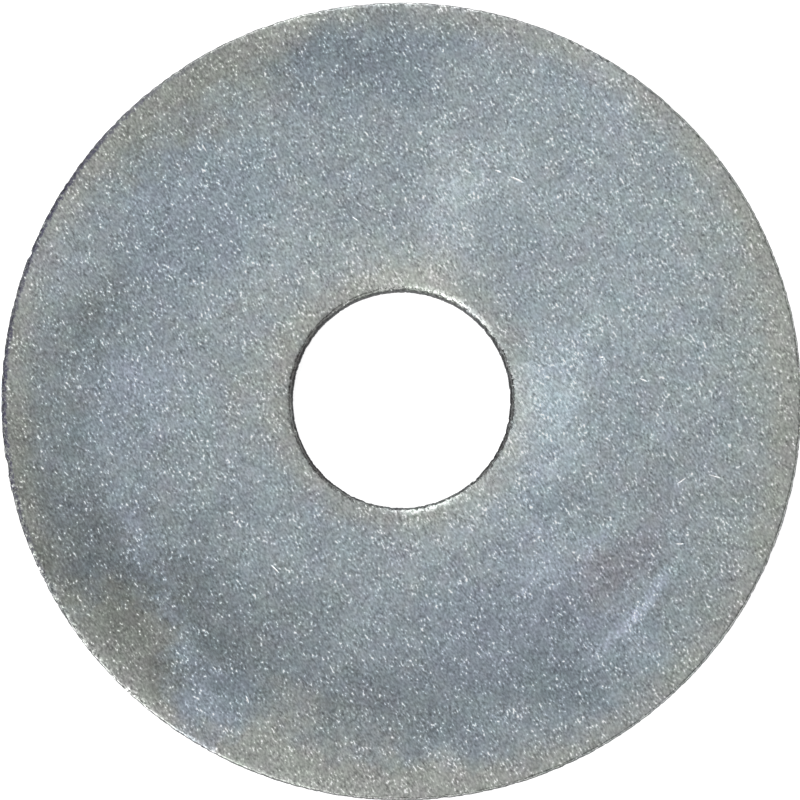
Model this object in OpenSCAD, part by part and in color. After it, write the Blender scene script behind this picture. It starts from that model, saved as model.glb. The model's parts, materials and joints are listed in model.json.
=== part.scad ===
// Flat washer: one disc with a plain hole, punched from sheet steel.
// Millimetres. The disc lies on the XY plane, centred on the Z axis, with its torn edges down
// and the edges that the punch drew round and smooth up.

/* [Disc] */
// Outside diameter
disc_d = 38.1; // [30:0.1:50]
// Diameter of the hole
hole_d = 10.32; // [5:0.01:16]
// Thickness of the sheet
sheet_t = 1.6; // [1:0.05:3]

/* [Punched edges] */
// How far the rounding at the top of the hole reaches into the face
hole_roll_w = 0.3; // [0.2:0.01:0.5]
// How far the rounding at the top of the hole drops down the wall
hole_roll_drop = 0.2; // [0.05:0.01:0.2]
// How far the rounding at the top of the rim reaches into the face
rim_roll_w = 0.15; // [0.12:0.01:0.5]
// How far the rounding at the top of the rim drops down the wall
rim_roll_drop = 0.12; // [0.05:0.01:0.12]
// Share of the thickness that is straight, smooth wall below the rounding of the hole
land_share = 0.5; // [0.3:0.05:0.6]
// How far the torn wall below the smooth one leans back, measured at the bottom
tear_lean = 0.06; // [0.01:0.01:0.1]
// Width of the blunted corner at each lower edge
blunt_w = 0.04; // [0.01:0.01:0.1]

/* [Finish] */
// Colour of the zinc plating
zinc_colour = "#939A9E"; // color

/* [Hidden] */

hole_r = hole_d / 2;
rim_r = disc_d / 2;

// Radius of the arc that is level with the face at a reach of w and meets the wall at a drop
function roll_radius(w, drop) = (w * w + drop * drop) / (2 * drop);

// Height of the line where the torn wall gives way to the smooth one
tear_h = sheet_t * (1 - land_share) - hole_roll_drop;

// How far a cutting shape stands past the metal
over = 1;

// Sides of the round shapes in a preview
$fn = 180;

// Corner that the rounding takes away, for a wall at x = 0 with its metal on the right
module roll_cut(w, drop) {
    arc_r = roll_radius(w, drop);
    difference() {
        translate([-over, sheet_t - arc_r]) square([over + w, arc_r + over]);
        translate([w, sheet_t - arc_r]) circle(r = arc_r);
    }
}

// Sheet between the two walls, with square upper corners and torn, blunted lower ones
module cut_sheet() {
    polygon([
        [hole_r + tear_lean + blunt_w, 0],
        [rim_r - tear_lean - blunt_w, 0],
        [rim_r - tear_lean, blunt_w],
        [rim_r, tear_h],
        [rim_r, sheet_t],
        [hole_r, sheet_t],
        [hole_r, tear_h],
        [hole_r + tear_lean, blunt_w]
    ]);
}

// Half section of the disc, with radius along x and height along y
module half_section() {
    difference() {
        cut_sheet();
        translate([hole_r, 0]) roll_cut(hole_roll_w, hole_roll_drop);
        translate([rim_r, 0]) mirror([1, 0]) roll_cut(rim_roll_w, rim_roll_drop);
    }
}

// The whole washer
module washer() {
    color(zinc_colour) rotate_extrude() half_section();
}

washer();
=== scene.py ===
"""Flat washer: the punched disc with its zinc plating, on a pale light table."""

import json
import math

import bmesh
import bpy
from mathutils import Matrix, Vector


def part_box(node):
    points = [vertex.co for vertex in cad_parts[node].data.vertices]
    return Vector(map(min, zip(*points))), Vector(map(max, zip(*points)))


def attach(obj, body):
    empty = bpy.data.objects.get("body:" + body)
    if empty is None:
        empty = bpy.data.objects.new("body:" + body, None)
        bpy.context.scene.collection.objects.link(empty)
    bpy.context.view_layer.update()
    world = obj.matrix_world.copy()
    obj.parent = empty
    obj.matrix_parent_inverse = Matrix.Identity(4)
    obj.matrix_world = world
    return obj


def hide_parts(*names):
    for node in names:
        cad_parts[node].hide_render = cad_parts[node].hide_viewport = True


bl_info = {
    "name": "Flat Washer",
    "version": (1, 0, 0),
    "blender": (4, 5, 0),
    "location": "View3D > Sidebar > Washer",
    "description": "Builds a punched, zinc plated flat washer and a small studio to look at it in",
    "category": "Object",
}

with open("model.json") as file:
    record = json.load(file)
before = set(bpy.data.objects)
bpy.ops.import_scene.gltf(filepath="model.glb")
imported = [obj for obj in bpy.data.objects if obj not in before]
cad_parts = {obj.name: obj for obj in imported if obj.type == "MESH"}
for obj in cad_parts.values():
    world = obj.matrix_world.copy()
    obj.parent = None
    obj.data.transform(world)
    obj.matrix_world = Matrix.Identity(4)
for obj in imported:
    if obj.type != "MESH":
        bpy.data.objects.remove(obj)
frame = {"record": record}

MM = 0.001
CAD_NODE = "washer"
CAD_BODY = "root"
CAD_LOW, CAD_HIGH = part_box(CAD_NODE)
BORE = next(m for m in frame["record"]["mounts"] if m["name"] == "bore")

# Rings of faces round each part of the section
FACE_RINGS = 22
EDGE_RINGS = 6
BACK_RINGS = 12
ROLL_RINGS = 8
LAND_RINGS = 6
TORN_RINGS = 6

# How far the finer rings reach from each rounded edge into the upper face
EDGE_BAND = 0.4 * MM

# Names that the disc's points carry for the plating to read
DEPTH_ATTRIBUTE = "edge_distance"
HEIGHT_ATTRIBUTE = "section_height"

# Height of a place in the noise of the drag lines, as a share of its real height. A small share draws
# the lines down the wall.
DRAG_STRETCH = 0.04

# How far a place moves in the noises from one seed to the next, in metres
SEED_SHIFT = 0.037

# Noises that shape the worn metal, as (count per millimetre, detail, roughness)
WEAR_NOISE = {
    "tear_line": (0.45, 4.0, 0.6),
    "pits": (2.6, 5.0, 0.7),
    "drag": (3.5, 3.0, 0.6),
    "sag": (0.5, 3.0, 0.55),
    "nicks": (1.1, 2.0, 0.5),
    "chatter": (2.2, 4.0, 0.9),
    "chips": (3.2, 2.0, 0.6),
    "dings": (0.55, 1.0, 0.5),
}

# Noises in the plating, as (count per millimetre, detail, roughness). Those of the grain are counted per
# length of a dash.
PLATING_NOISE = {
    "fine_grain": (1.0, 1.0, 0.6),
    "coarse_grain": (0.27, 1.0, 0.7),
    "crowding": (1.3, 3.0, 0.75),
    "drift": (0.35, 5.0, 0.6),
    "mottle": (0.8, 4.0, 0.7),
    "broken_smear": (1.6, 3.0, 0.7),
    "tear_line": (2.2, 5.0, 0.75),
    "shade_reach": (6.0, 3.0, 0.8),
    "shade_breaks": (5.0, 3.0, 0.8),
    "highlight_teeth": (4.5, 2.0, 0.8),
    "drag_lines": (8.0, 3.0, 0.7),
    "pits": (9.0, 4.0, 0.7),
}

# Chipped stretches of the rim: the bearing and the half sweep in degrees, how deep the chips are as a
# share of the full depth, and how far in from the edge the painted highlight reaches in millimetres
CHIPPED_RIM = ((95, 36, 0.4, 0.14), (212, 45, 1.0, 0.36))

# How deep the chips are elsewhere along the rim and along the hole, as shares of the full depth
RIM_CHIP_SHARE = 0.25
HOLE_CHIP_SHARE = 0.2

# Other stretches of the edges, as (bearing, half sweep) in degrees: painted shade on the rounded edges of
# the rim and the hole, and painted highlights on the rounded edge of the hole
RIM_EDGE_SHADE = ((150, 45), (180, 45))
HOLE_EDGE_SHADE = ((0, 62), (160, 75), (215, 50), (335, 50))
HOLE_EDGE_HIGHLIGHTS = ((62, 46), (285, 30))

# How much further than the noise says the painted shade on the rounded edges reaches into the face
RIM_SHADE_REACH = 1.7
HOLE_SHADE_REACH = 1.35

# Radii between which the plating goes over from the hole's looks to the rim's, in millimetres
HOLE_SIDE_END = 9.0
RIM_SIDE_START = 12.0

# How strongly each layer shows in the colour. Some are painted light: glints on the grain, highlights on
# stretches of the edges, and shade on the rounded edges.
BASE_TONE = 0.985
CLOUD_TONE = 1.15
# Painted glints on the grain
GLINT_TONE = 4.4
SCRATCH_TONE = 3.0
# Painted highlights on stretches of the edges
EDGE_HIGHLIGHT_TONE = 1.6
STREAK_TONE = 2.6
RIM_LIP_TONE = 0.8
# Painted shade on the rounded edges
EDGE_SHADE_COVER = 0.9
SMEAR_WARMTH = -1.2
SMEAR_GREEN = -0.1

# How much each layer adds to the roughness
CLOUD_ROUGH = -0.25
GRAIN_ROUGH = 0.25
GLINT_ROUGH = -0.16
SCRATCH_ROUGH = -0.1
ROLL_ROUGH = -0.14
TORN_ROUGH = 0.1

# Height of each layer's relief, as a share of the grain's
LINE_RELIEF = 1.8
PIT_RELIEF = 9.0
SCRATCH_RELIEF = -0.8

TABLE_SIZE = 6.0
TABLE_GAP = 0.01 * MM

# Softboxes, in metres
SOFTBOX_DISTANCE = 0.35
KEY_SIZE = (0.20, 0.34)
BACK_SIZE = (0.16, 0.30)

# Shift of the camera's frame, as shares of its width, for a disc that lies a little off the middle
FRAME_SHIFT = (-0.0019, 0.0004)


# ---------------------------------------------------------------- settings


def length_setting(name, description, default):
    """A setting that is a length in metres."""
    return bpy.props.FloatProperty(
        name=name,
        description=description,
        default=default,
        min=0.0,
        precision=5,
        unit="LENGTH",
    )


def colour_setting(name, description, default):
    """A setting that is a colour."""
    return bpy.props.FloatVectorProperty(
        name=name,
        description=description,
        default=default,
        subtype="COLOR",
        size=3,
        min=0.0,
        max=1.0,
    )


class WasherSizes(bpy.types.PropertyGroup):
    """Sizes of the disc and its punched edges, in metres"""

    rim_radius: length_setting("Rim radius", "Half of the outside diameter", CAD_HIGH.x)
    hole_radius: length_setting(
        "Hole radius",
        "Half of the hole's diameter, at its smooth wall",
        BORE["dims"]["r_mm"] * MM,
    )
    thickness: length_setting("Thickness", "Thickness of the sheet", CAD_HIGH.z - CAD_LOW.z)
    land_height: length_setting(
        "Smooth wall",
        "Height of the straight, smooth part of each wall",
        BORE["dims"]["length_mm"] * MM,
    )
    hole_roll: bpy.props.FloatVectorProperty(
        name="Hole rounding",
        description="How far the hole's upper rounding reaches into the face and drops down the wall",
        size=2,
        default=(0.30 * MM, 0.20 * MM),
        min=0.0,
        precision=5,
        unit="LENGTH",
    )
    rim_roll: bpy.props.FloatVectorProperty(
        name="Rim rounding",
        description="How far the rim's upper rounding reaches into the face and drops down the wall",
        size=2,
        default=(0.15 * MM, 0.12 * MM),
        min=0.0,
        precision=5,
        unit="LENGTH",
    )
    tear_lean: length_setting(
        "Torn wall lean",
        "How far the torn wall leans back at its foot",
        0.06 * MM,
    )
    blunt_width: length_setting(
        "Blunted corner",
        "Width of the blunted corner at each lower edge",
        0.04 * MM,
    )
    segments: bpy.props.IntProperty(
        name="Segments",
        description="Faces round the disc",
        default=1000,
        min=48,
        max=1024,
    )


class WasherWear(bpy.types.PropertyGroup):
    """How uneven the punched edges and the faces are, in metres"""

    tear_wander: length_setting(
        "Tear line wander",
        "How far the line between the smooth and the torn wall strays up and down",
        0.16 * MM,
    )
    tear_depth: length_setting("Tear depth", "Depth of the pits in the torn wall", 0.05 * MM)
    drag_depth: length_setting(
        "Drag lines",
        "Depth of the lines that the punch drags down the smooth wall",
        0.012 * MM,
    )
    roll_sag: length_setting(
        "Rounding sag",
        "How much further the rounded edge sags in places",
        0.04 * MM,
    )
    nick_depth: length_setting("Nick depth", "Depth of the knocks along the upper edges", 0.12 * MM)
    ding_depth: length_setting(
        "Ding depth",
        "Depth of the shallow dents in the upper face",
        0.012 * MM,
    )
    chatter: length_setting(
        "Chatter",
        "How ragged the press leaves the outline of the hole and the rim",
        0.05 * MM,
    )
    chip_depth: length_setting(
        "Chip depth",
        "Depth of the small chips just inside the upper edge of the rim",
        0.10 * MM,
    )
    seed: bpy.props.IntProperty(
        name="Seed",
        description="Picks one of many washers from the same press",
        default=7,
        min=0,
    )


class ZincFinish(bpy.types.PropertyGroup):
    """Colours and grain of the zinc plating, and the colours of the painted shade on its rounded edges"""

    zinc: colour_setting(
        "Zinc",
        "Colour of the plating over most of the face",
        (0.335, 0.395, 0.44),
    )
    passivate: colour_setting(
        "Passivate",
        "Warmer colour of the plating near the rim and round the hole",
        (0.40, 0.415, 0.395),
    )
    torn_steel: colour_setting(
        "Torn wall",
        "Colour of the thinly plated torn wall",
        (0.37, 0.38, 0.39),
    )
    # Painted shade: a dark colour painted on the rim's rounded edge at the stretches listed above
    rim_shade_colour: colour_setting(
        "Rim shade colour",
        "Colour of the painted shade on the rim's rounded edge",
        (0.085, 0.078, 0.14),
    )
    # Painted shade: a dark colour painted on the hole's rounded edge at the stretches listed above
    hole_shade_colour: colour_setting(
        "Hole shade colour",
        "Colour of the painted shade on the hole's rounded edge",
        (0.10, 0.092, 0.092),
    )
    roughness: bpy.props.FloatProperty(
        name="Roughness",
        description="Roughness of the plated face",
        subtype="FACTOR",
        default=0.36,
        min=0.0,
        max=1.0,
    )
    grain_depth: bpy.props.FloatProperty(
        name="Grain depth",
        description="Depth of the fine grain",
        default=0.010 * MM,
        min=0.0,
        precision=6,
        unit="LENGTH",
    )
    rolling_angle: bpy.props.FloatProperty(
        name="Rolling direction",
        description="Direction in which the sheet was rolled, from the X axis",
        subtype="ANGLE",
        default=math.radians(-58.0),
    )


class StudioSettings(bpy.types.PropertyGroup):
    """Camera and lights"""

    elevation: bpy.props.FloatProperty(
        name="Elevation",
        description="Height of the camera above the horizon",
        subtype="ANGLE",
        default=math.radians(85.0),
    )
    distance: bpy.props.FloatProperty(
        name="Distance",
        description="Distance from the camera to the washer",
        default=0.300,
        min=0.05,
        unit="LENGTH",
    )
    lens: bpy.props.FloatProperty(
        name="Lens",
        description="Focal length of the camera",
        subtype="DISTANCE_CAMERA",
        default=283.2,
        min=10.0,
    )
    ceiling: bpy.props.FloatProperty(
        name="Ceiling",
        description="Brightness of the lit ceiling straight above",
        default=0.80,
        min=0.0,
    )
    gap: bpy.props.FloatProperty(
        name="Gap",
        description="Brightness of the darker ring between the lit ceiling and the walls",
        default=0.03,
        min=0.0,
    )
    walls: bpy.props.FloatProperty(
        name="Walls",
        description="Brightness of the walls at the level of the table",
        default=0.95,
        min=0.0,
    )
    key_power: bpy.props.FloatProperty(
        name="Key light",
        description="Power of the softbox to the front left",
        default=0.45,
        min=0.0,
        unit="POWER",
    )
    back_power: bpy.props.FloatProperty(
        name="Back light",
        description="Power of the softbox behind",
        default=0.3,
        min=0.0,
        unit="POWER",
    )


# ---------------------------------------------------------------- node building


class Graph:
    """Adds nodes to a tree and wires them, so that a formula reads in the order it is worked out."""

    def __init__(self, tree):
        self.tree = tree

    def node(self, kind, inputs=None, **settings):
        """A new node. inputs maps a socket's name or number to a value or to another node's output."""
        made = self.tree.nodes.new(kind)
        for name, value in settings.items():
            setattr(made, name, value)
        for key, value in (inputs or {}).items():
            self.feed(made.inputs[key], value)
        return made

    def feed(self, socket, value):
        if isinstance(value, bpy.types.NodeSocket):
            self.tree.links.new(value, socket)
        else:
            socket.default_value = value

    def math(self, operation, *values, clamp=False):
        made = self.node("ShaderNodeMath", operation=operation, use_clamp=clamp)
        for socket, value in zip(made.inputs, values):
            self.feed(socket, value)
        return made.outputs[0]

    def product(self, *values):
        """The values multiplied together, from the first to the last."""
        total = values[0]
        for value in values[1:]:
            total = self.math("MULTIPLY", total, value)
        return total

    def vector(self, operation, *values):
        """A vector operation. The result is a number for LENGTH, DISTANCE and DOT_PRODUCT."""
        made = self.node("ShaderNodeVectorMath", operation=operation)
        slots = [s for s in made.inputs if s.enabled]
        for socket, value in zip(slots, values):
            self.feed(socket, value)
        return next(s for s in made.outputs if s.enabled)

    def ramp(self, value, low, high, start=0.0, end=1.0):
        """A smooth step from start, where value is low, to end, where it is high."""
        made = self.node("ShaderNodeMapRange", interpolation_type="SMOOTHSTEP")
        for name, given in (
            ("Value", value),
            ("From Min", low),
            ("From Max", high),
            ("To Min", start),
            ("To Max", end),
        ):
            self.feed(made.inputs[name], given)
        return made.outputs["Result"]

    def noise(self, place, scale, detail=2.0, roughness=0.5, output="Fac"):
        made = self.node("ShaderNodeTexNoise", noise_dimensions="3D")
        for name, given in (
            ("Vector", place),
            ("Scale", scale),
            ("Detail", detail),
            ("Roughness", roughness),
        ):
            self.feed(made.inputs[name], given)
        return made.outputs[output]

    def mix(self, factor, first, second, blend="MIX"):
        """A mix of two colours."""
        made = self.node("ShaderNodeMix", data_type="RGBA", blend_type=blend)
        self.feed(made.inputs["Factor"], factor)
        colours = [s for s in made.inputs if s.type == "RGBA"]
        self.feed(colours[0], first)
        self.feed(colours[1], second)
        return next(s for s in made.outputs if s.type == "RGBA")

    def split(self, value):
        return self.node("ShaderNodeSeparateXYZ", {"Vector": value}).outputs

    def join(self, x, y, z):
        return self.node("ShaderNodeCombineXYZ", {"X": x, "Y": y, "Z": z}).outputs[0]


def new_group(name, kind, inputs, outputs):
    """A node group with named sockets, and the graph, inputs and output node to build it with."""
    tree = bpy.data.node_groups.new(name, kind)
    for socket_name, socket_kind, default in inputs:
        socket = tree.interface.new_socket(socket_name, in_out="INPUT", socket_type=socket_kind)
        if default is not None:
            socket.default_value = default
    for socket_name, socket_kind in outputs:
        tree.interface.new_socket(socket_name, in_out="OUTPUT", socket_type=socket_kind)
    graph = Graph(tree)
    given = graph.node("NodeGroupInput").outputs
    result = graph.node("NodeGroupOutput").inputs
    return graph, given, result


def angle_from(g, outwards, bearing):
    """The angle in radians between a level direction and a bearing, which is in degrees."""
    turn = math.radians(bearing)
    along = g.vector("DOT_PRODUCT", outwards, (math.cos(turn), math.sin(turn), 0))
    return g.math("ARCCOSINE", along)


def near_bearing(g, outwards, bearing, half_sweep):
    """1 at a bearing, fading to 0 at a half sweep on both sides of it. Both are in degrees."""
    return g.ramp(angle_from(g, outwards, bearing), 0.0, math.radians(half_sweep), 1.0, 0.0)


def near_any(g, outwards, stretches):
    """The highest near_bearing of several stretches, each given as (bearing, half sweep)."""
    highest = 0.0
    for bearing, half_sweep in stretches:
        highest = g.math("MAXIMUM", highest, near_bearing(g, outwards, bearing, half_sweep))
    return highest


def plating_noise(g, place, name, output="Fac"):
    """One of the noises in the plating, for a place in millimetres."""
    count, detail, roughness = PLATING_NOISE[name]
    return g.noise(place, count, detail, roughness, output)


def wear_noise(g, place, name):
    """One of the noises that shape the worn metal, for a place in metres."""
    count, detail, roughness = WEAR_NOISE[name]
    return g.noise(place, count / MM, detail, roughness)


FLOAT = "NodeSocketFloat"
VECTOR = "NodeSocketVector"
GEOMETRY = "NodeSocketGeometry"


# ---------------------------------------------------------------- the disc's shape


def steps(start, end, count):
    """Values from start to end, without start itself."""
    return [start + (end - start) * i / count for i in range(1, count + 1)]


def torn_foot(s):
    """Height of the line where the torn wall gives way to the smooth one."""
    return s.thickness - s.hole_roll[1] - s.land_height


def wall_points(s, roll):
    """One wall, from the face's end to the back's start, as points (distance into the metal, height)."""
    width, drop = roll
    arc_radius = (width**2 + drop**2) / (2 * drop)
    arc_angle = math.asin(width / arc_radius)
    land_foot = torn_foot(s)
    points = [
        (width - arc_radius * math.sin(a), s.thickness - arc_radius * (1 - math.cos(a)))
        for a in steps(0, arc_angle, ROLL_RINGS)
    ]
    points += [(0, z) for z in steps(s.thickness - drop, land_foot, LAND_RINGS)]
    points += [
        (s.tear_lean * share, land_foot + (s.blunt_width - land_foot) * share)
        for share in steps(0, 1, TORN_RINGS)
    ]
    points.append((s.tear_lean + s.blunt_width, 0))
    return points


def section_points(s):
    """The disc's half section as a ring of (radius, height), from the hole's upper edge outwards."""
    face_start = s.hole_radius + s.hole_roll[0]
    face_end = s.rim_radius - s.rim_roll[0]
    rim_wall = wall_points(s, s.rim_roll)
    hole_wall = wall_points(s, s.hole_roll)
    back_start = s.rim_radius - rim_wall[-1][0]
    back_end = s.hole_radius + hole_wall[-1][0]
    points = [(face_start, s.thickness)]
    radii = steps(face_start, face_start + EDGE_BAND, EDGE_RINGS)
    radii += steps(face_start + EDGE_BAND, face_end - EDGE_BAND, FACE_RINGS)
    radii += steps(face_end - EDGE_BAND, face_end, EDGE_RINGS)
    points += [(r, s.thickness) for r in radii]
    points += [(s.rim_radius - depth, z) for depth, z in rim_wall]
    points += [(r, 0) for r in steps(back_start, back_end, BACK_RINGS)]
    points += [(s.hole_radius + depth, z) for depth, z in reversed(hole_wall[:-1])]
    return points


def section_object(s, rail_radius):
    """The half section as a loop of edges. The sweep lays its X outwards from the rail and its Y down."""
    points = section_points(s)
    edges = [(i, (i + 1) % len(points)) for i in range(len(points))]
    mesh = bpy.data.meshes.new("washer_section")
    mesh.from_pydata([(r - rail_radius, -z, 0) for r, z in points], edges, [])
    section = bpy.data.objects.new("washer_section", mesh)
    bpy.context.scene.collection.objects.link(section)
    return section


def punched_disc_tree():
    """Sweeps a half section round the Z axis, then makes it as uneven as a press leaves it."""
    lengths = (
        "Rail Radius",
        "Hole Radius",
        "Rim Radius",
        "Hole Roll",
        "Rim Roll",
        "Land Top",
        "Land Foot",
        "Wall Reach",
        "Tear Wander",
        "Tear Depth",
        "Drag Depth",
        "Roll Sag",
        "Nick Depth",
        "Ding Depth",
        "Chatter",
        "Chip Depth",
    )
    inputs = [("Section", GEOMETRY, None)]
    inputs += [(name, FLOAT, 0.0) for name in lengths]
    inputs += [
        ("Segments", "NodeSocketInt", 720),
        ("Seed", "NodeSocketInt", 0),
        ("Plating", "NodeSocketMaterial", None),
    ]
    g, given, result = new_group("Punched Disc", "GeometryNodeTree", inputs, [("Disc", GEOMETRY)])

    outline = g.node("GeometryNodeMeshToCurve", {"Mesh": given["Section"]})
    rail = g.node(
        "GeometryNodeCurvePrimitiveCircle",
        {"Resolution": given["Segments"], "Radius": given["Rail Radius"]},
        mode="RADIUS",
    )
    swept = g.node(
        "GeometryNodeCurveToMesh",
        {"Curve": rail.outputs["Curve"], "Profile Curve": outline.outputs[0]},
    )

    # Where a point lies: its height, and its distance into the metal from the nearer wall
    position = g.node("GeometryNodeInputPosition").outputs[0]
    x, y, height = g.split(position)
    flat = g.join(x, y, 0.0)
    radius = g.vector("LENGTH", flat)
    from_hole = g.math("SUBTRACT", radius, given["Hole Radius"])
    from_rim = g.math("SUBTRACT", given["Rim Radius"], radius)
    depth = g.math("MINIMUM", from_hole, from_rim)
    side = g.math("SIGN", g.math("SUBTRACT", from_rim, from_hole))
    outwards = g.vector("NORMALIZE", flat)
    inwards = g.vector("SCALE", outwards, side)
    roll_width = g.ramp(side, -1.0, 1.0, given["Rim Roll"], given["Hole Roll"])

    # The plating reads both from the finished mesh, as they were before the wear
    named = swept.outputs[0]
    for name, value in ((DEPTH_ATTRIBUTE, depth), (HEIGHT_ATTRIBUTE, height)):
        named = g.node(
            "GeometryNodeStoreNamedAttribute",
            {"Geometry": named, "Name": name, "Value": value},
            data_type="FLOAT",
            domain="POINT",
        ).outputs[0]

    shift = g.product(given["Seed"], SEED_SHIFT)
    place = g.vector("ADD", position, g.join(shift, shift, 0.0))
    px, py, pz = g.split(place)
    round_place = g.join(px, py, 0.0)
    drawn_place = g.join(px, py, g.product(pz, DRAG_STRETCH))

    # Masks of the wall, the torn wall, the upper half, the rounded edges and the face
    wall_end = g.product(given["Wall Reach"], 1.5)
    on_wall = g.ramp(depth, given["Wall Reach"], wall_end, 1.0, 0.0)
    torn_top = g.product(given["Land Foot"], 0.75)
    torn = g.product(on_wall, g.ramp(height, torn_top, given["Land Foot"], 1.0, 0.0))
    upper = g.ramp(height, given["Land Foot"], given["Land Top"])
    near_edge = g.product(g.ramp(depth, 0.0, g.product(roll_width, 1.3), 1.0, 0.0), upper)
    on_face = g.product(g.ramp(depth, roll_width, g.product(roll_width, 3.0)), upper)

    # The line where the smooth wall ends strays up and down
    above_foot = g.ramp(height, 0.0, given["Land Foot"])
    below_top = g.ramp(height, given["Land Foot"], given["Land Top"], 1.0, 0.0)
    wander = g.math("SUBTRACT", wear_noise(g, round_place, "tear_line"), 0.5)
    wander = g.product(wander, 2.0, given["Tear Wander"])
    wander = g.product(wander, g.product(above_foot, below_top, on_wall))

    # Pits in the torn wall, and lines that the punch drew down the smooth one
    pits = g.ramp(wear_noise(g, place, "pits"), 0.35, 0.8)
    pits = g.product(pits, torn, given["Tear Depth"])
    drag = g.product(wear_noise(g, drawn_place, "drag"), on_wall, given["Drag Depth"])

    # The rounded edge sags unevenly, and has a few knocks along it
    sag = g.ramp(wear_noise(g, round_place, "sag"), 0.3, 0.75)
    sag = g.product(sag, near_edge, given["Roll Sag"])
    nicks = g.ramp(wear_noise(g, round_place, "nicks"), 0.63, 0.78)
    nicks = g.product(nicks, near_edge, given["Nick Depth"])

    # The outline of both edges is a little ragged
    chatter = g.ramp(wear_noise(g, round_place, "chatter"), 0.42, 0.70)
    chatter = g.product(chatter, g.ramp(depth, 0.0, roll_width, 1.0, 0.0), given["Chatter"])

    # Small chips and bruises just inside each upper edge
    chips_end = g.math("ADD", roll_width, EDGE_BAND)
    beside_edge = g.product(g.ramp(depth, 0.0, chips_end, 1.0, 0.0), upper)
    chips = g.ramp(wear_noise(g, round_place, "chips"), 0.50, 0.64)
    chips = g.product(chips, beside_edge, given["Chip Depth"])
    chipped = RIM_CHIP_SHARE
    for bearing, half_sweep, share, _ in CHIPPED_RIM:
        near = near_bearing(g, outwards, bearing, half_sweep)
        chipped = g.math("MULTIPLY_ADD", near, share, chipped)
    chips = g.product(chips, g.ramp(side, -1.0, 1.0, chipped, HOLE_CHIP_SHARE))

    # Shallow dents where washers fell on each other
    dings = g.ramp(wear_noise(g, round_place, "dings"), 0.66, 0.82)
    dings = g.product(dings, on_face, given["Ding Depth"])

    into_metal = g.math("ADD", g.math("ADD", pits, drag), g.math("MULTIPLY_ADD", nicks, 0.6, chatter))
    down = g.math("ADD", g.math("ADD", sag, nicks), g.math("ADD", chips, dings))
    offset = g.vector(
        "ADD",
        g.vector("SCALE", inwards, into_metal),
        g.join(0.0, 0.0, g.math("SUBTRACT", wander, down)),
    )
    worn = g.node("GeometryNodeSetPosition", {"Geometry": named, "Offset": offset})
    smooth = g.node("GeometryNodeSetShadeSmooth", {"Geometry": worn.outputs[0]})
    real = g.node("GeometryNodeRealizeInstances", {"Geometry": smooth.outputs[0]})
    plated = g.node(
        "GeometryNodeSetMaterial",
        {"Geometry": real.outputs[0], "Material": given["Plating"]},
    )
    g.feed(result["Disc"], plated.outputs[0])
    return g.tree


def apply_tree(carrier, tree, values, name):
    """Runs a Geometry Nodes tree on carrier with the values given by socket name. Returns the result as
    a plain mesh object, with the carrier removed."""
    modifier = carrier.modifiers.new(tree.name, "NODES")
    modifier.node_group = tree
    for socket in tree.interface.items_tree:
        if socket.in_out == "INPUT" and socket.name in values:
            modifier[socket.identifier] = values[socket.name]
    depsgraph = bpy.context.evaluated_depsgraph_get()
    mesh = bpy.data.meshes.new_from_object(carrier.evaluated_get(depsgraph))
    mesh.name = name
    bpy.data.objects.remove(carrier)
    made = bpy.data.objects.new(name, mesh)
    bpy.context.scene.collection.objects.link(made)
    return made


def face_outwards(mesh):
    """Turns every face of a closed mesh outwards."""
    work = bmesh.new()
    work.from_mesh(mesh)
    bmesh.ops.recalc_face_normals(work, faces=work.faces)
    work.to_mesh(mesh)
    work.free()


# ---------------------------------------------------------------- the plating


def rolled_grain_group():
    """Fine dashes that the rolling mill leaves, longer along the rolling direction than across it."""
    g, given, result = new_group(
        "Rolled Grain",
        "ShaderNodeTree",
        [
            ("Place", VECTOR, None),
            ("Direction", FLOAT, 0.0),
            ("Length", FLOAT, 0.18),
            ("Width", FLOAT, 0.105),
        ],
        [("Height", FLOAT)],
    )
    turned = g.node(
        "ShaderNodeMapping",
        {
            "Vector": given["Place"],
            "Rotation": g.join(0.0, 0.0, given["Direction"]),
            "Scale": g.join(given["Length"], given["Width"], given["Width"]),
        },
        vector_type="TEXTURE",
    ).outputs[0]
    fine = g.math("SUBTRACT", plating_noise(g, turned, "fine_grain"), 0.5)
    coarse = g.math("SUBTRACT", plating_noise(g, turned, "coarse_grain"), 0.5)
    crowd = g.ramp(plating_noise(g, given["Place"], "crowding"), 0.36, 0.62, 0.65, 1.35)
    level = g.math("MULTIPLY_ADD", fine, crowd, 0.5)
    g.feed(result["Height"], g.math("MULTIPLY_ADD", coarse, 0.17, level))
    return g.tree


def painted_glints_group():
    """Painted glints on the grain's highest points, and a tone taken from the height of the grain,
    lighter on its high points and darker in its low pores: partly the grain's own tone, partly painted
    light and shade.
    """
    g, given, result = new_group(
        "Painted Glints",
        "ShaderNodeTree",
        [
            ("Height", FLOAT, 0.5),
            ("Contrast", FLOAT, 2.0),
            ("Glint Start", FLOAT, 0.66),
            ("Glint End", FLOAT, 0.90),
        ],
        [("Tone", FLOAT), ("Glint", FLOAT)],
    )
    centred = g.math("SUBTRACT", given["Height"], 0.5)
    g.feed(result["Tone"], g.math("EXPONENT", g.product(centred, given["Contrast"])))
    g.feed(result["Glint"], g.ramp(given["Height"], given["Glint Start"], given["Glint End"]))
    return g.tree


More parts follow.
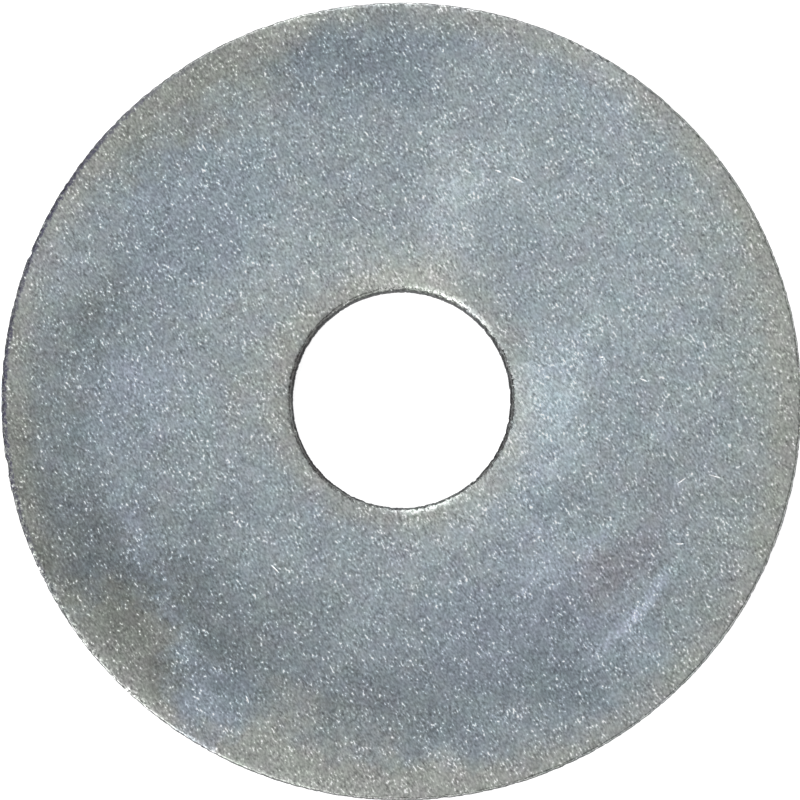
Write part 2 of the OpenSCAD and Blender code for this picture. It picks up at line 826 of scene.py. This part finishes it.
# Clouds in the plating that follow the disc round: the middle's bearing in degrees and its radius in
# millimetres, the reach round the disc in degrees and across it in millimetres, and then how much
# lighter, warmer and greener the middle is
CLOUDS = (
    (225, 15.5, 80, 7, -0.26, 0.0, 0.0),
    (290, 14, 50, 6, -0.12, -0.1, 0.0),
    (258, 19, 45, 3, 0.10, 1.0, 0.1),
    (30, 12, 80, 10, 0.12, 0.0, 0.1),
    (0, 7, 40, 4, 0.38, -0.2, 0.2),
    (325, 6, 45, 4, 0.24, 0.0, 0.1),
    (165, 6.5, 60, 3, 0.02, 0.4, 0.1),
    (74, 10, 20, 5, 0.28, 0.1, 0.2),
    (85, 6, 50, 3, 0.22, 0.5, 0.2),
    (130, 8, 40, 4, 0.10, 0.1, 0.1),
    (57, 18, 14, 3, 0.10, -0.1, -0.2),
    (20, 10, 12, 3, 0.10, 0.0, 0.1),
    (178, 12.5, 18, 4, 0.16, -0.3, -0.5),
    (285, 7, 30, 3, 0.14, 0.1, 0.1),
    (310, 10.5, 14, 3, 0.10, -0.2, -0.5),
    (312, 16, 10, 2, 0.10, -0.3, 0.0),
    (212, 17, 26, 5, -0.18, 0.1, 0.2),
    (165, 14, 50, 6, -0.08, 0.0, 0.0),
    (232, 14, 24, 4, -0.06, 0.0, 0.1),
    (264, 14.5, 20, 3.5, -0.08, 0.0, -0.1),
    (185, 18.5, 30, 3.5, -0.16, 0.3, 0.3),
    (300, 15, 14, 3, -0.10, -0.2, 0.0),
    (95, 16.5, 22, 3.5, -0.20, -0.4, -0.2),
    (165, 15.5, 14, 3, -0.16, 0.1, 0.2),
    (140, 13, 30, 5, -0.02, -0.5, -0.3),
    (124, 18, 36, 4, -0.18, 0.6, 0.4),
    (325, 9, 14, 1.8, -0.16, -0.5, 0.0),
    (323, 13, 26, 2.6, -0.08, 0.2, -0.8),
    (295, 12, 30, 4, 0.0, -0.3, -0.6),
    (221, 17.3, 14, 3, 0.06, 1.2, 0.2),
    (239, 18, 9, 4, 0.02, -1.0, -0.6),
    (252, 16.5, 26, 3, 0.08, 0.4, 0.1),
    (248, 12, 20, 2.5, -0.06, 0.0, 0.0),
    (318, 10.5, 20, 4, 0.09, 0.0, 0.0),
    (5, 17.5, 60, 4.5, 0.0, 0.4, 0.3),
)


def plating_clouds_group():
    """Soft lighter, darker and differently tinted areas that the plating bath and the rinse leave."""
    g, given, result = new_group(
        "Plating Clouds",
        "ShaderNodeTree",
        [("Place", VECTOR, None), ("Edge Distance", FLOAT, 5.0)],
        [("Tone", FLOAT), ("Warmth", FLOAT), ("Green", FLOAT)],
    )
    drift = plating_noise(g, given["Place"], "drift", "Color")
    drift = g.vector("SCALE", g.vector("SUBTRACT", drift, (0.5, 0.5, 0.5)), 7.0)
    place = g.vector("MULTIPLY", g.vector("ADD", given["Place"], drift), (1, 1, 0))
    outwards = g.vector("NORMALIZE", place)
    radius = g.vector("LENGTH", place)
    mottle = plating_noise(g, given["Place"], "mottle", "Color")
    mottle = g.vector("SUBTRACT", mottle, (0.5, 0.5, 0.5))
    total = g.vector("MULTIPLY", mottle, (0.35, 1.0, 4.0))
    for bearing, middle, reach_round, reach_out, lighter, warmer, greener in CLOUDS:
        angle = angle_from(g, outwards, bearing)
        across = g.vector("SUBTRACT", g.join(angle, radius, 0.0), (0, middle, 0))
        across = g.vector("DIVIDE", across, (math.radians(reach_round), reach_out, 1))
        cover = g.ramp(g.vector("LENGTH", across), 0.0, 1.0, 1.0, 0.0)
        total = g.vector("ADD", total, g.vector("SCALE", (lighter, warmer, greener), cover))
    lighter, warmer, greener = g.split(total)
    rim_warmth = g.ramp(given["Edge Distance"], 0.2, 2.0, 0.6, 0.0)
    g.feed(result["Tone"], lighter)
    g.feed(result["Warmth"], g.math("ADD", g.math("ADD", warmer, rim_warmth), 0.22, clamp=True))
    g.feed(result["Green"], g.product(greener, 0.05))
    return g.tree


# Scratches on the upper face: the middle's (x, y), the length and the width in millimetres, and the
# direction in degrees
SCRATCHES = (
    (4.6, 10.9, 0.40, 0.10, -20),
    (5.5, 10.5, 0.90, 0.11, -24),
    (11.5, 0.9, 0.50, 0.09, -22),
    (9.5, 2.0, 0.30, 0.10, 0),
    (13.3, -3.9, 0.60, 0.08, 35),
    (14.9, -3.7, 0.70, 0.08, -16),
    (13.2, -6.9, 0.50, 0.09, 0),
    (-6.0, -8.1, 0.70, 0.09, -45),
    (-7.3, -14.3, 0.50, 0.10, -68),
    (-9.4, 12.0, 0.60, 0.06, -60),
    (-2.2, 8.6, 0.45, 0.06, -35),
)


# Faint arcs where something slid past, as the (x, y) of the arc's centre, its radius and half width in
# millimetres, its middle bearing and half sweep in degrees, and how much lighter it is
SMEARS = (
    (0.0, 0.0, 15.1, 0.5, -43, 16, 0.60),
    (0.0, 0.0, 14.2, 0.9, -46, 24, 0.14),
    (0.0, 0.0, 11.6, 0.5, -38, 20, 0.20),
    (20.5, 4.8, 35.0, 1.4, 204, 20, 0.24),
)


def handling_marks_group():
    """Short bright scratches, and the long faint arcs where something slid past."""
    g, given, result = new_group(
        "Handling Marks",
        "ShaderNodeTree",
        [("Place", VECTOR, None)],
        [("Scratch", FLOAT), ("Smear", FLOAT)],
    )
    worst = 0.0
    for x, y, length, width, direction in SCRATCHES:
        turned = g.node(
            "ShaderNodeMapping",
            {
                "Vector": given["Place"],
                "Location": (x, y, 0),
                "Rotation": (0, 0, math.radians(direction)),
                "Scale": (length / 2, width / 2, 1),
            },
            vector_type="TEXTURE",
        ).outputs[0]
        distance = g.vector("LENGTH", g.vector("MULTIPLY", turned, (1, 1, 0)))
        worst = g.math("MAXIMUM", worst, g.ramp(distance, 0.4, 1.0, 1.0, 0.0))
    g.feed(result["Scratch"], worst)
    flat = g.vector("MULTIPLY", given["Place"], (1, 1, 0))
    total = 0.0
    for x, y, middle, half_width, bearing, half_sweep, lighter in SMEARS:
        away = g.vector("SUBTRACT", flat, (x, y, 0))
        off_line = g.math("ABSOLUTE", g.math("SUBTRACT", g.vector("LENGTH", away), middle))
        line = g.ramp(off_line, 0.0, half_width, lighter, 0.0)
        near = near_bearing(g, g.vector("NORMALIZE", away), bearing, half_sweep)
        total = g.math("MULTIPLY_ADD", line, near, total)
    broken = g.ramp(plating_noise(g, given["Place"], "broken_smear"), 0.36, 0.6, 0.3, 1.0)
    g.feed(result["Smear"], g.product(broken, total))
    return g.tree


def punched_wall_group():
    """Masks of the walls and the rounded edges, of the painted shade and the painted highlights on the
    edges, and the lines and pits on them. All is in millimetres.
    """
    g, given, result = new_group(
        "Punched Wall",
        "ShaderNodeTree",
        [
            ("Place", VECTOR, None),
            ("Edge Distance", FLOAT, 1.0),
            ("Height", FLOAT, 1.6),
            ("Face Height", FLOAT, 1.6),
            ("Land Top", FLOAT, 1.4),
            ("Land Foot", FLOAT, 0.6),
            ("Wall Reach", FLOAT, 0.1),
        ],
        [
            ("Torn", FLOAT),
            ("Roll", FLOAT),
            ("Edge Shade", FLOAT),
            ("Rim Lip", FLOAT),
            ("At Hole", FLOAT),
            ("Edge Highlight", FLOAT),
            ("Lines", FLOAT),
            ("Pits", FLOAT),
        ],
    )
    place = given["Place"]
    edge = given["Edge Distance"]
    height = given["Height"]
    flat = g.vector("MULTIPLY", place, (1, 1, 0))
    outwards = g.vector("NORMALIZE", flat)
    at_hole = g.ramp(g.vector("LENGTH", flat), HOLE_SIDE_END, RIM_SIDE_START, 1.0, 0.0)
    g.feed(result["At Hole"], at_hole)

    def by_side(rim_value, hole_value):
        return g.ramp(at_hole, 0.0, 1.0, rim_value, hole_value)

    # The torn wall, up to a ragged line
    reach = given["Wall Reach"]
    on_wall = g.ramp(edge, reach, g.product(reach, 1.5), 1.0, 0.0)
    top = given["Land Top"]
    below_roll = g.ramp(height, top, g.math("ADD", top, 0.05), 1.0, 0.0)
    foot = given["Land Foot"]
    ragged = g.product(plating_noise(g, place, "tear_line"), 0.5)
    ragged_height = g.math("ADD", height, g.math("SUBTRACT", ragged, 0.25))
    torn_start = g.math("SUBTRACT", foot, 0.03)
    torn = g.ramp(ragged_height, torn_start, g.math("ADD", foot, 0.02), 1.0, 0.0)
    g.feed(result["Torn"], g.product(on_wall, below_roll, torn))

    # All that the press drew smooth: the rounded edges and the walls down to the torn part
    face = given["Face Height"]
    face_start = g.math("SUBTRACT", face, 0.002)
    off_face = g.ramp(height, g.math("SUBTRACT", face, 0.03), face_start, 1.0, 0.0)
    g.feed(result["Roll"], g.product(off_face, g.math("SUBTRACT", 1.0, torn)))
    above_land = g.ramp(height, g.math("SUBTRACT", top, 0.1), top)
    rim_lip = g.product(off_face, above_land, g.math("SUBTRACT", 1.0, at_hole))
    g.feed(result["Rim Lip"], rim_lip)

    # Where it is rubbed dark
    # Painted shade: where the rounded edges are painted dark, at the stretches given above
    shade_side = by_side(near_any(g, outwards, RIM_EDGE_SHADE), near_any(g, outwards, HOLE_EDGE_SHADE))
    shade_reach = g.math("MULTIPLY_ADD", plating_noise(g, place, "shade_reach"), 0.40, -0.02)
    shade_reach = g.product(shade_reach, by_side(RIM_SHADE_REACH, HOLE_SHADE_REACH))
    close = g.ramp(edge, g.product(shade_reach, 0.7), shade_reach, 1.0, 0.0)
    whole = g.ramp(plating_noise(g, place, "shade_breaks"), 0.38, 0.55, by_side(0.3, 0.75), 1.0)
    edge_shade = g.math("MULTIPLY", g.product(shade_side, whole), g.product(close, above_land), clamp=True)

    # Painted highlights: where the rounded edges are painted bright. The rim's stretches are also chipped
    # in the shape.
    rim_highlight = 0.0
    for bearing, half_sweep, _, highlight_reach in CHIPPED_RIM:
        near = near_bearing(g, outwards, bearing, half_sweep)
        near = g.product(near, g.ramp(edge, 0.3 * highlight_reach, highlight_reach, 1.0, 0.0))
        rim_highlight = g.math("MAXIMUM", rim_highlight, near)
    hole_band = g.product(g.ramp(edge, 0.10, 0.18), g.ramp(edge, 0.26, 0.46, 1.0, 0.0))
    hole_highlight = g.product(near_any(g, outwards, HOLE_EDGE_HIGHLIGHTS), hole_band)
    edge_highlight = g.product(by_side(rim_highlight, hole_highlight), above_land)
    teeth = g.ramp(plating_noise(g, place, "highlight_teeth"), by_side(0.50, 0.40), 0.62)
    edge_highlight = g.product(edge_highlight, teeth)
    g.feed(result["Edge Highlight"], edge_highlight)
    g.feed(result["Edge Shade"], g.product(edge_shade, g.math("SUBTRACT", 1.0, edge_highlight)))

    x, y, z = g.split(place)
    drawn = g.join(x, y, g.product(z, DRAG_STRETCH))
    g.feed(result["Lines"], plating_noise(g, drawn, "drag_lines"))
    g.feed(result["Pits"], plating_noise(g, place, "pits"))
    return g.tree


def zinc_plating(sizes, finish):
    """The material of the whole washer."""
    material = bpy.data.materials.new("zinc_plating")
    material.use_nodes = True
    material.node_tree.nodes.clear()
    g = Graph(material.node_tree)

    def use(tree, **inputs):
        made = g.node("ShaderNodeGroup", node_tree=tree)
        for name, value in inputs.items():
            g.feed(made.inputs[name.replace("_", " ")], value)
        return made.outputs

    def in_mm(attribute):
        read = g.node("ShaderNodeAttribute", attribute_name=attribute, attribute_type="GEOMETRY")
        return g.product(read.outputs["Fac"], 1 / MM)

    place = g.node(
        "ShaderNodeMapping",
        {
            "Vector": g.node("ShaderNodeTexCoord").outputs["Object"],
            "Scale": (1 / MM, 1 / MM, 1 / MM),
        },
    ).outputs[0]
    edge = in_mm(DEPTH_ATTRIBUTE)
    height = in_mm(HEIGHT_ATTRIBUTE)
    land_foot = torn_foot(sizes) / MM
    land_top = land_foot + sizes.land_height / MM

    grain = use(rolled_grain_group(), Place=place, Direction=finish.rolling_angle)
    glints = use(painted_glints_group(), Height=grain["Height"])
    clouds = use(plating_clouds_group(), Place=place, Edge_Distance=edge)
    marks = use(handling_marks_group(), Place=place)
    wall = use(
        punched_wall_group(),
        Place=place,
        Edge_Distance=edge,
        Height=height,
        Face_Height=sizes.thickness / MM,
        Land_Top=land_top,
        Land_Foot=land_foot,
        Wall_Reach=(sizes.tear_lean + sizes.blunt_width) / MM,
    )

    # Colour
    tone = g.math("MULTIPLY_ADD", clouds["Tone"], CLOUD_TONE, g.math("ADD", marks["Smear"], BASE_TONE))
    # Painted glints on the grain's high points, and painted shade in its low pores, multiplied into the
    # colour
    tone = g.product(tone, g.math("MULTIPLY_ADD", glints["Glint"], GLINT_TONE, glints["Tone"]))
    tone = g.math("MULTIPLY_ADD", marks["Scratch"], SCRATCH_TONE, tone)
    # Painted highlights on stretches of the rounded edges
    tone = g.math("MULTIPLY_ADD", wall["Edge Highlight"], EDGE_HIGHLIGHT_TONE, tone)
    warmth = g.math("MULTIPLY_ADD", marks["Smear"], SMEAR_WARMTH, clouds["Warmth"], clamp=True)
    plated = g.mix(warmth, (*finish.zinc, 1.0), (*finish.passivate, 1.0))
    green = g.math("MULTIPLY_ADD", marks["Smear"], SMEAR_GREEN, clouds["Green"])
    greenish = g.join(tone, g.math("MULTIPLY_ADD", tone, green, tone), tone)
    plated = g.vector("MULTIPLY", plated, greenish)
    torn_tone = g.ramp(wall["Pits"], 0.3, 0.7, 0.5, 1.7)
    torn_steel = g.vector("SCALE", tuple(finish.torn_steel), torn_tone)
    streaks = g.product(wall["Roll"], g.math("SUBTRACT", wall["Lines"], 0.5))
    plated = g.vector("SCALE", plated, g.math("MULTIPLY_ADD", streaks, STREAK_TONE, 1.0))
    plated = g.vector("SCALE", plated, g.math("MULTIPLY_ADD", wall["Rim Lip"], RIM_LIP_TONE, 1.0))
    # Painted shade on the rounded edges, mixed over the plating
    edge_shade_colour = g.mix(wall["At Hole"], (*finish.rim_shade_colour, 1.0), (*finish.hole_shade_colour, 1.0))
    plated = g.mix(g.product(wall["Edge Shade"], EDGE_SHADE_COVER), plated, edge_shade_colour)
    colour = g.mix(wall["Torn"], plated, torn_steel)

    # Roughness
    rough = g.math("MULTIPLY_ADD", clouds["Tone"], CLOUD_ROUGH, finish.roughness)
    rough = g.math("MULTIPLY_ADD", g.math("SUBTRACT", grain["Height"], 0.5), GRAIN_ROUGH, rough)
    rough = g.math("MULTIPLY_ADD", glints["Glint"], GLINT_ROUGH, rough)
    rough = g.math("MULTIPLY_ADD", marks["Scratch"], SCRATCH_ROUGH, rough)
    rough = g.math("MULTIPLY_ADD", wall["Roll"], ROLL_ROUGH, rough)
    rough = g.math("MULTIPLY_ADD", wall["Torn"], TORN_ROUGH, rough, clamp=True)

    # Relief
    relief = g.product(grain["Height"], g.math("SUBTRACT", 1.0, wall["Torn"]))
    relief = g.math("MULTIPLY_ADD", g.product(wall["Lines"], wall["Roll"]), LINE_RELIEF, relief)
    relief = g.math("MULTIPLY_ADD", g.product(wall["Pits"], wall["Torn"]), PIT_RELIEF, relief)
    relief = g.math("MULTIPLY_ADD", marks["Scratch"], SCRATCH_RELIEF, relief)
    bump = g.node(
        "ShaderNodeBump",
        {"Height": relief, "Distance": finish.grain_depth, "Strength": 1.0},
    )
    surface = g.node(
        "ShaderNodeBsdfPrincipled",
        {"Base Color": colour, "Roughness": rough, "Metallic": 1.0, "Normal": bump.outputs[0]},
    )
    g.node("ShaderNodeOutputMaterial", {"Surface": surface.outputs[0]})
    return material


# ---------------------------------------------------------------- operators


class OBJECT_OT_make_flat_washer(bpy.types.Operator):
    """Makes the washer: one punched steel disc with its zinc plating"""

    bl_idname = "object.make_flat_washer"
    bl_label = "Make Flat Washer"

    def execute(self, context):
        sizes = context.scene.washer_sizes
        wear = context.scene.washer_wear
        finish = context.scene.washer_finish
        rail_radius = (sizes.hole_radius + sizes.rim_radius) / 2
        land_foot = torn_foot(sizes)
        washer = apply_tree(
            section_object(sizes, rail_radius),
            punched_disc_tree(),
            {
                "Rail Radius": rail_radius,
                "Hole Radius": sizes.hole_radius,
                "Rim Radius": sizes.rim_radius,
                "Hole Roll": sizes.hole_roll[0],
                "Rim Roll": sizes.rim_roll[0],
                "Land Top": land_foot + sizes.land_height,
                "Land Foot": land_foot,
                "Wall Reach": sizes.tear_lean + sizes.blunt_width,
                "Tear Wander": wear.tear_wander,
                "Tear Depth": wear.tear_depth,
                "Drag Depth": wear.drag_depth,
                "Roll Sag": wear.roll_sag,
                "Nick Depth": wear.nick_depth,
                "Ding Depth": wear.ding_depth,
                "Chatter": wear.chatter,
                "Chip Depth": wear.chip_depth,
                "Segments": sizes.segments,
                "Seed": wear.seed,
                "Plating": zinc_plating(sizes, finish),
            },
            "flat_washer",
        )
        face_outwards(washer.data)
        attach(washer, CAD_BODY)
        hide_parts(CAD_NODE)
        return {"FINISHED"}


def studio_world(studio):
    """A soft studio: bright walls, a lit ceiling and a darker ring between them. The camera itself sees
    plain white."""
    world = bpy.data.worlds.new("soft_studio")
    world.use_nodes = True
    world.node_tree.nodes.clear()
    g = Graph(world.node_tree)
    _, _, up = g.split(g.node("ShaderNodeTexCoord").outputs["Generated"])
    walls = g.ramp(up, 0.45, 0.62, studio.walls, studio.gap)
    ceiling = g.ramp(up, 0.78, 0.97, 0.0, studio.ceiling)
    glow = g.math("ADD", walls, ceiling)
    seen = g.node("ShaderNodeLightPath").outputs["Is Camera Ray"]
    strength = g.node("ShaderNodeMix", {"Factor": seen, "A": glow, "B": 1.0}, data_type="FLOAT")
    light = g.node(
        "ShaderNodeBackground",
        {"Color": (1.0, 1.0, 1.0, 1.0), "Strength": strength.outputs["Result"]},
    )
    g.node("ShaderNodeOutputWorld", {"Surface": light.outputs[0]})
    bpy.context.scene.world = world


def table_material():
    """A pale light table: white to look at, and a soft grey in what the metal reflects."""
    material = bpy.data.materials.new("light_table")
    material.use_nodes = True
    material.node_tree.nodes.clear()
    g = Graph(material.node_tree)
    top = g.node("ShaderNodeBsdfDiffuse", {"Color": (0.85, 0.85, 0.85, 1.0)})
    glow = g.node("ShaderNodeEmission", {"Color": (1.0, 1.0, 1.0, 1.0), "Strength": 0.75})
    lit = g.node("ShaderNodeAddShader", {0: top.outputs[0], 1: glow.outputs[0]})
    under = g.node("ShaderNodeBsdfDiffuse", {"Color": (0.38, 0.38, 0.39, 1.0)})
    seen = g.node("ShaderNodeLightPath").outputs["Is Camera Ray"]
    mixed = g.node("ShaderNodeMixShader", {0: seen, 1: under.outputs[0], 2: lit.outputs[0]})
    g.node("ShaderNodeOutputMaterial", {"Surface": mixed.outputs[0]})
    return material


def make_table():
    """The pale floor that the washer lies on."""
    half = TABLE_SIZE / 2
    corners = [(-half, -half), (half, -half), (half, half), (-half, half)]
    mesh = bpy.data.meshes.new("light_table")
    mesh.from_pydata([(x, y, -TABLE_GAP) for x, y in corners], [], [(0, 1, 2, 3)])
    mesh.materials.append(table_material())
    table = bpy.data.objects.new("light_table", mesh)
    bpy.context.scene.collection.objects.link(table)


def towards(azimuth, elevation):
    """The direction from the washer at an azimuth from -Y towards +X and an elevation, in radians."""
    flat = math.cos(elevation)
    return Vector((math.sin(azimuth) * flat, -math.cos(azimuth) * flat, math.sin(elevation)))


def make_softbox(name, azimuth, elevation, size, power):
    """A tall soft light that faces the washer. The azimuth and the elevation are in degrees."""
    light = bpy.data.lights.new(name, "AREA")
    light.shape = "RECTANGLE"
    light.size, light.size_y = size
    light.energy = power
    lamp = bpy.data.objects.new(name, light)
    away = towards(math.radians(azimuth), math.radians(elevation))
    lamp.location = away * SOFTBOX_DISTANCE
    lamp.rotation_mode = "QUATERNION"
    lamp.rotation_quaternion = away.to_track_quat("Z", "Y")
    lamp.visible_camera = False
    bpy.context.scene.collection.objects.link(lamp)


def make_camera(studio):
    """A camera nearly straight above, tipped towards the front."""
    camera = bpy.data.cameras.new("camera")
    camera.lens = studio.lens
    camera.clip_start = studio.distance / 10
    camera.clip_end = studio.distance * 100
    camera.shift_x, camera.shift_y = FRAME_SHIFT
    holder = bpy.data.objects.new("camera", camera)
    back = towards(0.0, studio.elevation)
    holder.location = Vector((0, 0, CAD_HIGH.z / 2)) + back * studio.distance
    holder.rotation_mode = "QUATERNION"
    holder.rotation_quaternion = (-back).to_track_quat("-Z", "Y")
    bpy.context.scene.collection.objects.link(holder)
    bpy.context.scene.camera = holder


class SCENE_OT_make_washer_studio(bpy.types.Operator):
    """Makes the stage: a pale table, a soft studio with two softboxes, and the camera"""

    bl_idname = "scene.make_washer_studio"
    bl_label = "Make Studio"

    def execute(self, context):
        studio = context.scene.washer_studio
        make_table()
        studio_world(studio)
        make_softbox("key_softbox", -42, 42, KEY_SIZE, studio.key_power)
        make_softbox("back_softbox", 190, 42, BACK_SIZE, studio.back_power)
        make_camera(studio)
        context.scene.view_settings.view_transform = "Standard"
        return {"FINISHED"}


class VIEW3D_PT_washer(bpy.types.Panel):
    """Lists the washer's operators and settings"""

    bl_idname = "VIEW3D_PT_washer"
    bl_label = "Flat Washer"
    bl_space_type = "VIEW_3D"
    bl_region_type = "UI"
    bl_category = "Washer"

    def draw(self, context):
        layout = self.layout
        for operator, settings in (
            (OBJECT_OT_make_flat_washer, ("washer_sizes", "washer_wear", "washer_finish")),
            (SCENE_OT_make_washer_studio, ("washer_studio",)),
        ):
            layout.operator(operator.bl_idname)
            for name in settings:
                group = getattr(context.scene, name)
                column = layout.column(align=True)
                for key in group.bl_rna.properties.keys():
                    if key not in ("rna_type", "name"):
                        column.prop(group, key)


CLASSES = (
    WasherSizes,
    WasherWear,
    ZincFinish,
    StudioSettings,
    OBJECT_OT_make_flat_washer,
    SCENE_OT_make_washer_studio,
    VIEW3D_PT_washer,
)


def register():
    for kind in CLASSES:
        bpy.utils.register_class(kind)
    bpy.types.Scene.washer_sizes = bpy.props.PointerProperty(type=WasherSizes)
    bpy.types.Scene.washer_wear = bpy.props.PointerProperty(type=WasherWear)
    bpy.types.Scene.washer_finish = bpy.props.PointerProperty(type=ZincFinish)
    bpy.types.Scene.washer_studio = bpy.props.PointerProperty(type=StudioSettings)


def unregister():
    del bpy.types.Scene.washer_studio
    del bpy.types.Scene.washer_finish
    del bpy.types.Scene.washer_wear
    del bpy.types.Scene.washer_sizes
    for kind in reversed(CLASSES):
        bpy.utils.unregister_class(kind)


def main():
    register()
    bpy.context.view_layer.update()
    bpy.ops.object.make_flat_washer()
    bpy.ops.scene.make_washer_studio()


if __name__ == "__main__":
    main()
